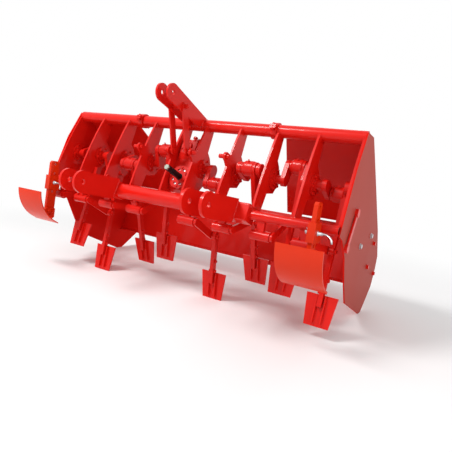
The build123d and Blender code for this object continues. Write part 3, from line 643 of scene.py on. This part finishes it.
plated_rows = [
    (place(side * SIDE_FACE, *at), facing, PLATED_FLATS)
    for side, facing in BOTH_SIDES
    for at in PLATED_BOLTS_AT
]
bolts("plated_bolts", plated_rows, "frame", ZINC, {"Head height": 0.3})

# ---------------------------------------------------------------- gearbox

GEARBOX_OUTLINE = (
    (-72, -156), (-72, 20), (-80, 60), (-80, 138), (-52, 158), (-12, 158),
    (20, 108), (62, 86), (92, 50), (92, -70), (30, -168), (-60, -168),
)
GEARBOX_MIDDLE_AT = (6, -4)
GEARBOX_FRONT = -84                     # face of the front cap's seat and of the input ring
FLANGE_PROUD = 9                        # how far the seam's flange stands out of the casting
FLANGE_LEFT = 26
FLANGE_RIGHT = 46
FLANGE_BOLTS_FROM = -60                 # no flange bolts lower than this
FLANGE_BOLTS_INWARD = 0.97
FLANGE_FLATS = 10
CAP_ACROSS = -20
CAP_UP = 100
CAP_PROFILE = ((0, 34), (7, 34), (9, 32), (9, 20), (14, 18), (16, 12))
CAP_RIM = 9                             # from the cap's seat to the rim that its bolts sit on
CAP_BOLTS_R = 27
CAP_FLATS = 8
BREATHER_FOOT = (-20, -30, 158)         # across, back, up
BREATHER_PROFILE = ((0, 13), (6, 13), (6, 9), (16, 9), (16, 14), (26, 14), (29, 11))
RING_BOLTS_R = 58
RING_FLATS = 11


def grown_outline(outline, middle, proud):
    """Outline pushed out from its middle by a few millimetres."""
    pushed = []
    for back, up in outline:
        away = hypot(back - middle[0], up - middle[1])
        share = 1 + proud / away
        pushed.append((middle[0] + (back - middle[0]) * share, middle[1] + (up - middle[1]) * share))
    return pushed


def front_bolts(across, back, up, radius, start, flats):
    """Four bolts round a point of the gearbox's front, from a start angle in degrees."""
    turns = [radians(start + 90 * n) for n in range(4)]
    return [
        (place(across + radius * cos(turn), back, up + radius * sin(turn)), TO_FRONT, flats)
        for turn in turns
    ]


shape = bmesh.new()
slab(shape, grown_outline(GEARBOX_OUTLINE, GEARBOX_MIDDLE_AT, FLANGE_PROUD), FLANGE_LEFT, FLANGE_RIGHT)
fitting("gearbox_flange", shape, "frame", "red_paint", CAST_ENAMEL, bevel_mm=1.5)

box_rows = [
    (place(FLANGE_LEFT, back * FLANGE_BOLTS_INWARD, up * FLANGE_BOLTS_INWARD), TO_LEFT, FLANGE_FLATS)
    for back, up in grown_outline(GEARBOX_OUTLINE, GEARBOX_MIDDLE_AT, FLANGE_PROUD - 1)
    if up > FLANGE_BOLTS_FROM
]

shape = bmesh.new()
turned(shape, place(CAP_ACROSS, GEARBOX_FRONT, CAP_UP), TO_FRONT, CAP_PROFILE, 32)
fitting("gearbox_front_cap", shape, "frame", "red_paint", CAST_ENAMEL, bevel_mm=0.8)
box_rows += front_bolts(CAP_ACROSS, GEARBOX_FRONT - CAP_RIM, CAP_UP, CAP_BOLTS_R, 45, CAP_FLATS)

shape = bmesh.new()
turned(shape, place(*BREATHER_FOOT), TO_TOP, BREATHER_PROFILE)
fitting("gearbox_breather", shape, "frame", "red_paint", CAST_ENAMEL)
box_rows += front_bolts(0, GEARBOX_FRONT, INPUT_UP, RING_BOLTS_R, 0, RING_FLATS)
bolts("gearbox_bolts", box_rows, "frame", CAST_ENAMEL)

# Pale plated ring, a painted reflection: it stands in for the bright room mirrored on the input ring's
# face, and shows in the openings of the input ring
HIGHLIGHT_RING_BACK = -73
HIGHLIGHT_RING_OUTER = 61
HIGHLIGHT_RING_INNER = 33
HIGHLIGHT_RING_THICK = 3
shape = bmesh.new()
flat_ring(shape, place(0, HIGHLIGHT_RING_BACK, INPUT_UP), TO_FRONT, HIGHLIGHT_RING_OUTER, HIGHLIGHT_RING_INNER, HIGHLIGHT_RING_THICK, 48)
fitting("painted_reflection_ring", shape, "frame", "dark_steel", ZINC)

# ---------------------------------------------------------------- beam ears, covers and board

# Lifting ears on the front beam, each a ring on a short foot
EARS = ((-506, -206), (318, -207))      # across, up of the beam's top
EAR_THICK = 10
EAR_RISE = 26
EAR_OUTER = 17
EAR_INNER = 6
EAR_MIDDLE = -122
EAR_FRONT = -139
EAR_REAR = -105
EAR_FOOT_SUNK = 2
EAR_FOOT_RISE = 14
shape = bmesh.new()
for across, top in EARS:
    eye = place(across, EAR_MIDDLE, top + EAR_RISE)
    flat_ring(shape, eye, TO_RIGHT, EAR_OUTER, EAR_INNER, EAR_THICK, 24)
    low = top - EAR_FOOT_SUNK
    high = top + EAR_FOOT_RISE
    foot = ((EAR_FRONT, low), (EAR_FRONT, high), (EAR_REAR, high), (EAR_REAR, low))
    slab(shape, foot, across, across + EAR_THICK)
fitting("beam_ears", shape, "frame", "red_paint", PLATE_ENAMEL, bevel_mm=0.8)

# Bolts that hold the covers to the ribs and to the rail
COVER_FRONT_AT = Vector((-22, 266))
COVER_REAR_AT = Vector((656, 18))
COVER_THICK = 5
COVER_UP = Vector((COVER_FRONT_AT.y - COVER_REAR_AT.y, COVER_REAR_AT.x - COVER_FRONT_AT.x)).normalized()
COVER_BOLTS = (     # share of the way from front to rear, places across
    (0.04, (570, 762, 984)),
    (0.5, (984,)),
    (0.95, (430, 620, 800, 984)),
)
cover_rows = []
for share, places in COVER_BOLTS:
    at = COVER_FRONT_AT.lerp(COVER_REAR_AT, share) + COVER_UP * COVER_THICK
    for across in places:
        for side in (-1, 1):
            cover_rows.append((place(side * across, *at), heading(0, *COVER_UP), M8_FLATS))
bolts("cover_bolts", cover_rows, "frame", PLATE_ENAMEL)

# Folded lip along the rear board's lower edge
LIP_OUTLINE = ((690, -351), (696, -355), (672, -366), (670, -361))
shape = bmesh.new()
slab(shape, LIP_OUTLINE, -END_FACE, END_FACE)
fitting("board_lip", shape, "frame", "red_paint", PLATE_ENAMEL, bevel_mm=1)

# ---------------------------------------------------------------- input shaft

SPLINES = 6
SPLINE_WIDTH = 8.7
SPLINE_R = 17.46
ROOT_R = 14.8
FULL_R = 20                             # larger than the splines, so it cuts nothing away
JOURNAL_BACK = -16
JOURNAL_PROFILE = ((0, 20), (69, 20), (70, 18.5))
SHAFT_STATIONS = (                      # back, largest radius: splines with a groove near the end
    (-85, FULL_R), (-170, FULL_R), (-173, 14), (-180, 14), (-183, FULL_R), (-211, FULL_R),
)
CHAMFER_STATIONS = ((-211, FULL_R), (-218, 16.5), (-220, 14.5))
TIP_BACK = -219
TIP_PROFILE = ((0, 14.5), (3, 13.8))
BLACK, BRIGHT = 0, 1                    # order of the shaft's finishes


def spline_section(largest, sides=72):
    """Points round a splined shaft, no further out than the largest radius."""
    points = []
    for n in range(sides):
        turn = tau * n / sides
        from_spline = (turn + pi / SPLINES) % (tau / SPLINES) - pi / SPLINES
        on_spline = abs(SPLINE_R * sin(from_spline)) < SPLINE_WIDTH / 2
        radius = min(SPLINE_R if on_spline else ROOT_R, largest)
        points.append((radius * cos(turn), radius * sin(turn)))
    return points


def shaft_rings(stations):
    """Outlines of the splined shaft at its stations."""
    return [
        [place(x, back, INPUT_UP + y) for x, y in spline_section(largest)]
        for back, largest in stations
    ]


shape = bmesh.new()
turned(shape, place(0, JOURNAL_BACK, INPUT_UP), TO_FRONT, JOURNAL_PROFILE, 48, BLACK)
rings(shape, shaft_rings(SHAFT_STATIONS), BLACK)
rings(shape, shaft_rings(CHAMFER_STATIONS), BRIGHT)
turned(shape, place(0, TIP_BACK, INPUT_UP), TO_FRONT, TIP_PROFILE, 48, BRIGHT)
shaft = fitting("splined_input_shaft", shape, "pto_shaft", "dark_steel", BLACK_STEEL, TURNED_STEEL,
                bevel_mm=0.4)
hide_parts("pto_shaft")

# ---------------------------------------------------------------- rocker barrels and mast pins

# Places across from a bay's middle
BARREL_LEFT = -92
BARREL_RIGHT = 14
BARREL_BOLT = -98
LEFT_BUSHING_PROFILE = ((0, 20), (4, 20), (5, 18.5))
RIGHT_BUSHING_PROFILE = ((0, 20), (2.4, 20))
BARREL_FLATS = 15
MAST_PIN_ENDS = ((60, -302, 236), (94, -152, 34))       # across, back, up
MAST_PIN_FLATS = 20

shape = bmesh.new()
for middle in BAY_MIDDLES:
    turned(shape, place(middle + BARREL_LEFT, *ROCKER_PIVOT_AT), TO_LEFT, LEFT_BUSHING_PROFILE)
    turned(shape, place(middle + BARREL_RIGHT, *ROCKER_PIVOT_AT), TO_RIGHT, RIGHT_BUSHING_PROFILE)
fitting("barrel_bushings", shape, "frame", "red_paint", CAST_ENAMEL, bevel_mm=0.6)
barrel_rows = [
    (place(middle + BARREL_BOLT, *ROCKER_PIVOT_AT), TO_LEFT, BARREL_FLATS) for middle in BAY_MIDDLES
]
bolts("barrel_bolts", barrel_rows, "frame", CAST_ENAMEL, {"Head height": 0.25})

pin_rows = [
    (place(side * across, back, up), facing, MAST_PIN_FLATS)
    for side, facing in BOTH_SIDES
    for across, back, up in MAST_PIN_ENDS
]
bolts("mast_pin_nuts", pin_rows, "frame", PLATE_ENAMEL, {"Stud length": 0.3})

# ---------------------------------------------------------------- spades

# Places across from a bay's middle
ARM_LEFT = 34
ARM_MIDDLE = 46
ARM_RIGHT = 58
NIPPLE_ACROSS = 14

# Distances along an arm from its crank pin, and out to its rear
RIGHT_BOLTS = (446, 505)
REAR_BOLTS = (534, 566)
REAR_BOLTS_OUT = 25
BEAD_ENDS = (524, 580)
BEAD_BEHIND = 15
BEAD_R = 2.8

# The same on the left face, at places that pass clear of the rocker at every crank angle
LEFT_BOLTS = {
    1: (470, 508), 2: (512,), 3: (446, 505), 4: (446, 505),
    5: (508,), 6: (446, 505), 7: (446, 505), 8: (478, 508),
}
EYE_FLATS = 22
BLADE_FLATS = 17
NIPPLE_TURN = radians(142)
NIPPLE_REACH = 41
NIPPLE_PROFILE = (
    (0, 7), (4, 7), (4, 5), (7, 5), (8, 3.2), (10, 3.2), (12, 4.2), (14, 4), (15.5, 2),
)


def spade_lines(number):
    """Crank pin, rocker eye and blade direction of a spade, in the side view."""
    pin_offset = Vector(joint(f"spade_pin_{number}")["pos_m"]) - CRANK
    pin = Vector((pin_offset.dot(BACK), pin_offset.dot(UP))) / MM
    pivot = Vector(ROCKER_PIVOT_AT)
    span = pin - pivot
    near = (span.length_squared + ROCKER_REACH**2 - EYE_REACH**2) / (2 * span.length)
    off = sqrt(ROCKER_REACH**2 - near**2)
    along = span.normalized()
    eye = pivot + along * near + Vector((along.y, -along.x)) * off
    turn = atan2(eye.y - pin.y, eye.x - pin.x) + radians(ARM_BEND)
    return pin, eye, Vector((cos(turn), sin(turn)))


def spade_bolts(number, middle, pin, eye, line, behind):
    """Bolts of a spade: through its eye, and through its blade from three sides."""
    rows = [(place(middle + ARM_RIGHT, *eye), TO_RIGHT, EYE_FLATS)]
    for reach in RIGHT_BOLTS:
        rows.append((place(middle + ARM_RIGHT, *(pin + line * reach)), TO_RIGHT, BLADE_FLATS))
    for reach in LEFT_BOLTS[number]:
        rows.append((place(middle + ARM_LEFT, *(pin + line * reach)), TO_LEFT, BLADE_FLATS))
    for reach in REAR_BOLTS:
        at = pin + line * reach + behind * REAR_BOLTS_OUT
        rows.append((place(middle + ARM_MIDDLE, *at), heading(0, *behind), BLADE_FLATS))
    bolts(f"spade_bolts_{number}", rows, f"spade_{number}", CAST_ENAMEL)


def grease_nipple(number, middle, pin):
    """Nipple on a spade's head, ahead of the arm."""
    out = Vector((cos(NIPPLE_TURN), sin(NIPPLE_TURN)))
    shape = bmesh.new()
    turned(shape, place(middle + NIPPLE_ACROSS, *(pin + out * NIPPLE_REACH)), heading(0, *out),
           NIPPLE_PROFILE, 12)
    fitting(f"grease_nipple_{number}", shape, f"spade_{number}", "red_paint", CAST_ENAMEL)


def blade_welds(number, middle, pin, line, behind):
    """Beads between a spade's shank and its blade."""
    edge = [pin + line * reach + behind * BEAD_BEHIND for reach in BEAD_ENDS]
    beads = [across_line(edge, middle + across) for across in (ARM_LEFT, ARM_RIGHT)]
    welds(f"blade_welds_{number}", beads, f"spade_{number}", CAST_ENAMEL, BEAD_R)


for number, middle in enumerate(BAY_MIDDLES, 1):
    pin, eye, line = spade_lines(number)
    behind = Vector((-line.y, line.x))
    spade_bolts(number, middle, pin, eye, line, behind)
    grease_nipple(number, middle, pin)
    blade_welds(number, middle, pin, line, behind)

# ---------------------------------------------------------------- skids

SKIDS = (("left", -900), ("right", 900))
BAR_SLOPE = radians(17.5)
SOCKET_AT = (-178, -295.3)
SOCKET_HALF_WIDE = 18.6
SKID_BOLTS = ((188, 16), (188, -16), (212, 0))          # down the bar, forward
SKID_BOLT_FACES = ((20, TO_RIGHT), (-10, TO_LEFT))      # from the skid's middle
SKID_FLATS = 16
LEFT_END_PROFILE = ((0, 12), (3, 12), (3, 7.6), (20, 7.6), (22, 6))
RIGHT_END_PROFILE = ((0, 12), (3, 12), (3, 7.6), (22, 7.6), (24, 6))
CLIP_R = 1.8
CLIP_OUT = 14
CLIP_LINE = (                                           # back, up
    (-16, 14), (0, 9), (14, 6), (24, 2), (27, -6), (20, -12), (8, -9), (0, -12), (-8, -9), (-16, -12),
)
LOOP_R = 5
LOOP_OUT = 18
LOOP_LINE = (                                           # out, back, up
    (0, 0, 0), (10, 4, 2), (24, 6, 0), (40, 4, -8), (52, 0, -22), (56, -2, -36),
)


def along_bar(distance, forward):
    """Point of the side view down a skid's bar from the socket's middle."""
    back = SOCKET_AT[0] + distance * sin(BAR_SLOPE) - forward * cos(BAR_SLOPE)
    up = SOCKET_AT[1] - distance * cos(BAR_SLOPE) - forward * sin(BAR_SLOPE)
    return back, up


for name, middle in SKIDS:
    skid_rows = [
        (place(middle + across, *along_bar(distance, forward)), facing, SKID_FLATS)
        for distance, forward in SKID_BOLTS
        for across, facing in SKID_BOLT_FACES
    ]
    bolts(f"skid_bolts_{name}", skid_rows, f"skid_{name}", SKID_ENAMEL)

# Plated pins beside the sockets: each has a clip at its left end and a bent handle at its right
for name, middle in SKIDS:
    shape = bmesh.new()
    turned(shape, place(middle - SOCKET_HALF_WIDE, *SOCKET_AT), TO_LEFT, LEFT_END_PROFILE, 20)
    turned(shape, place(middle + SOCKET_HALF_WIDE, *SOCKET_AT), TO_RIGHT, RIGHT_END_PROFILE, 20)
    clip = [
        place(middle - SOCKET_HALF_WIDE - CLIP_OUT, SOCKET_AT[0] + back, SOCKET_AT[1] + up)
        for back, up in CLIP_LINE
    ]
    rod(shape, clip, CLIP_R, 8)
    loop = [
        place(middle + SOCKET_HALF_WIDE + LOOP_OUT + out, SOCKET_AT[0] + back, SOCKET_AT[1] + up)
        for out, back, up in LOOP_LINE
    ]
    rod(shape, loop, LOOP_R, 12)
    fitting(f"skid_pin_{name}", shape, "frame", "dark_steel", ZINC, smooth=True)

# ---------------------------------------------------------------- floor, light and camera

FLOOR_R = 14
FLOOR_FADE = (1.5, 3.4)                 # metres from the middle between which the floor turns white
ROOM_LIGHT = 0.48                       # strength of the white room as a source of light
LAMPS = (       # name, place, size in metres, power in watts
    ("key_lamp", (-1.6, -2.6, 4.0), 1.5, 165),
    ("fill_lamp", (3.6, -2.0, 2.2), 2.6, 45),
    ("rear_lamp", (0.5, 3.8, 3.2), 2.6, 45),
)
LAMP_TARGET = Vector((0, 0, 0.6))


def viewing_ray(tree):
    """1 for rays from the camera, mirrored or not, and 0 for rays that carry light."""
    path = add(tree, "ShaderNodeLightPath")
    seen = add(tree, "ShaderNodeMath", {
        0: path.outputs["Is Camera Ray"], 1: path.outputs["Is Glossy Ray"]}, operation="MAXIMUM")
    return add(tree, "ShaderNodeMath", {
        0: seen.outputs[0], 1: path.outputs["Is Transmission Ray"]}, operation="MAXIMUM").outputs[0]


def floor_material():
    """Matt white board that turns into the plain white backdrop away from the machine."""
    material, tree, output = new_material("matt_white_board")
    at = add(tree, "ShaderNodeTexCoord").outputs["Object"]
    reach = add(tree, "ShaderNodeVectorMath", {0: at}, operation="LENGTH")
    far = add(tree, "ShaderNodeMapRange", {
        "Value": reach.outputs["Value"], "From Min": FLOOR_FADE[0], "From Max": FLOOR_FADE[1]},
        interpolation_type="SMOOTHSTEP")
    share = add(tree, "ShaderNodeMath", {0: far.outputs[0], 1: viewing_ray(tree)}, operation="MULTIPLY")
    grain = add(tree, "ShaderNodeTexNoise", {"Vector": at, "Scale": per_metre(4), "Detail": 2.0})
    skin = add(tree, "ShaderNodeBump", {
        "Height": grain.outputs["Fac"], "Strength": 0.1, "Distance": 0.1 * MM})
    board = add(tree, "ShaderNodeBsdfPrincipled", {
        "Base Color": linear("#F4F4F4"), "Roughness": 0.85, "Normal": skin.outputs[0]})
    glow = add(tree, "ShaderNodeEmission", {"Color": (1, 1, 1, 1), "Strength": 1.0})
    both = add(tree, "ShaderNodeMixShader", {
        0: share.outputs[0], 1: board.outputs[0], 2: glow.outputs[0]})
    tree.links.new(both.outputs[0], output.inputs["Surface"])
    return material


shape = bmesh.new()
bmesh.ops.create_circle(shape, cap_ends=True, segments=96, radius=FLOOR_R)
floor_mesh = bpy.data.meshes.new("studio_floor")
shape.to_mesh(floor_mesh)
shape.free()
floor_mesh.materials.append(floor_material())
floor = bpy.data.objects.new("studio_floor", floor_mesh)
bpy.context.scene.collection.objects.link(floor)

world = bpy.data.worlds.new("studio")
bpy.context.scene.world = world
world.use_nodes = True
sky = world.node_tree
sky.nodes.clear()
strength = add(sky, "ShaderNodeMapRange", {
    "Value": viewing_ray(sky), "To Min": ROOM_LIGHT, "To Max": 1.0})
dome = add(sky, "ShaderNodeBackground", {"Color": (1, 1, 1, 1), "Strength": strength.outputs[0]})
add(sky, "ShaderNodeOutputWorld", {"Surface": dome.outputs[0]})

for name, at, size, power in LAMPS:
    light = bpy.data.lights.new(name, "AREA")
    light.shape = "DISK"
    light.size = size
    light.energy = power
    lamp = bpy.data.objects.new(name, light)
    lamp.location = at
    lamp.rotation_euler = (LAMP_TARGET - Vector(at)).to_track_quat("-Z", "Y").to_euler()
    bpy.context.scene.collection.objects.link(lamp)

camera_data = bpy.data.cameras.new("camera")
camera_data.lens = LENS
camera_data.sensor_width = SENSOR
camera = bpy.data.objects.new("camera", camera_data)
bpy.context.scene.collection.objects.link(camera)
camera_turn = (
    Matrix.Rotation(radians(PHOTO_LEAN) - LEAN, 4, "X")
    @ Matrix.Rotation(radians(PHOTO_AZIMUTH), 4, "Z")
    @ Matrix.Rotation(radians(90 - PHOTO_ELEVATION), 4, "X")
    @ Matrix.Rotation(radians(PHOTO_ROLL), 4, "Z")
)
camera.matrix_world = Matrix.Translation(place(*CAMERA_PLACE)) @ camera_turn
bpy.context.scene.camera = camera
bpy.context.scene.view_settings.view_transform = "Standard"

bpy.context.view_layer.update()
